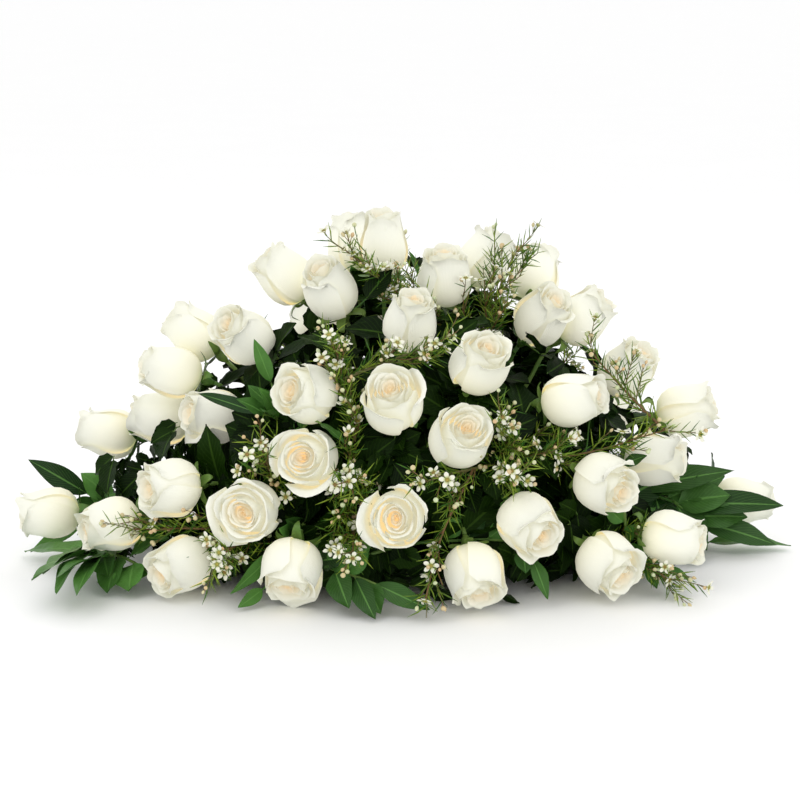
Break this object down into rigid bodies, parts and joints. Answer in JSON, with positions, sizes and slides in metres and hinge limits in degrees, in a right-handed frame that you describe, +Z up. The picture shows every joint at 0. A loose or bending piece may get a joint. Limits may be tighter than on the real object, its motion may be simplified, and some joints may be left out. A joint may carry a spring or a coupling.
{
  "type": "rose funeral pillow",
  "caption": "Long low mound of ivory roses, glossy leaves and waxflower sprays set in wet foam on a shallow tray, laid flat as a funeral flower pillow.",
  "frame": {"origin": "middle of the tray's flat underside, which rests on the table", "axes": "+X along the pillow's long side, to the right as seen from the front; -Y towards the front that is seen; +Z up"},
  "size_m": [0.783, 0.4394, 0.3495],
  "materials": {
    "rose_petal": "soft matte ivory petals, warmer towards the heart",
    "rose_green": "satin green stems, sepals and rose leaves",
    "leaf_green": "glossy deep green long leaves",
    "waxflower": "matte olive twigs with white flowers and greenish buds",
    "wet_foam": "wet matte dark green flower foam",
    "tray_plastic": "black satin plastic"
  },
  "bodies": {
    "root": {"foam": "wet_foam", "foliage_back": "leaf_green", "foliage_front": "leaf_green", "foliage_left": "leaf_green", "foliage_right": "leaf_green", "rose_bloom_01": "rose_petal", "rose_bloom_02": "rose_petal", "rose_bloom_03": "rose_petal", "rose_bloom_04": "rose_petal", "rose_bloom_06": "rose_petal", "rose_bloom_08": "rose_petal", "rose_bloom_09": "rose_petal", "rose_bloom_10": "rose_petal", "rose_bloom_13": "rose_petal", "rose_bloom_14": "rose_petal", "rose_bloom_15": "rose_petal", "rose_bloom_16": "rose_petal", "rose_bloom_17": "rose_petal", "rose_bloom_18": "rose_petal", "rose_bloom_19": "rose_petal", "rose_bloom_20": "rose_petal", "rose_bloom_21": "rose_petal", "rose_bloom_22": "rose_petal", "rose_bloom_23": "rose_petal", "rose_bloom_24": "rose_petal", "rose_bloom_25": "rose_petal", "rose_bloom_26": "rose_petal", "rose_bloom_27": "rose_petal", "rose_bloom_28": "rose_petal", "rose_bloom_29": "rose_petal", "rose_bloom_30": "rose_petal", "rose_bloom_31": "rose_petal", "rose_bloom_32": "rose_petal", "rose_bloom_33": "rose_petal", "rose_bloom_34": "rose_petal", "rose_bloom_35": "rose_petal", "rose_bloom_36": "rose_petal", "rose_bloom_37": "rose_petal", "rose_bloom_38": "rose_petal", "rose_blooms_05_07": "rose_petal", "rose_blooms_11_12": "rose_petal", "rose_blooms_39_40": "rose_petal", "rose_blooms_41_42": "rose_petal", "rose_blooms_43_44": "rose_petal", "rose_blooms_45_46": "rose_petal", "rose_blooms_47_48": "rose_petal", "rose_blooms_49_50": "rose_petal", "rose_blooms_51_52": "rose_petal", "rose_stems_back_left": "rose_green", "rose_stems_back_right": "rose_green", "rose_stems_front_left": "rose_green", "rose_stems_front_right": "rose_green", "tray": "tray_plastic", "waxflower_1": "waxflower", "waxflower_2": "waxflower", "waxflower_3": "waxflower", "waxflower_4": "waxflower", "waxflower_5": "waxflower", "waxflower_6": "waxflower", "waxflower_7": "waxflower"}
  },
  "joints": []
}
